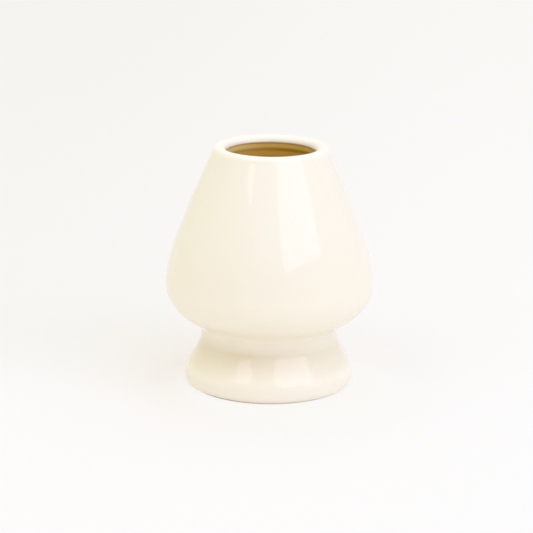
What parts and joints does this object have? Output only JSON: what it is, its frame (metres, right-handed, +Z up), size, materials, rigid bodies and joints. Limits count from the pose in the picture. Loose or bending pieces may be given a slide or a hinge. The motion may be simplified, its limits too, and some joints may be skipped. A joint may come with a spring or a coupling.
{
  "type": "tea whisk holder",
  "caption": "Hollow stand of ochre clay with a cream glaze coat, with a flared foot, tight waist and tapering belly, on which a bamboo tea whisk dries over the open mouth.",
  "frame": {"origin": "centre of the foot ring, on the surface the holder stands on", "axes": "+Z up along the axis of revolution, from the foot to the mouth"},
  "size_m": [0.062, 0.062, 0.0724],
  "materials": {
    "bare_clay": "unglazed fine ochre clay, matt, in the throat and cavity and on the ring that the foot stands on",
    "cream_glaze": "glossy opaque cream glaze, even and unpatterned"
  },
  "bodies": {
    "root": {"clay_body": "bare_clay", "glaze_coat": "cream_glaze"}
  },
  "joints": []
}
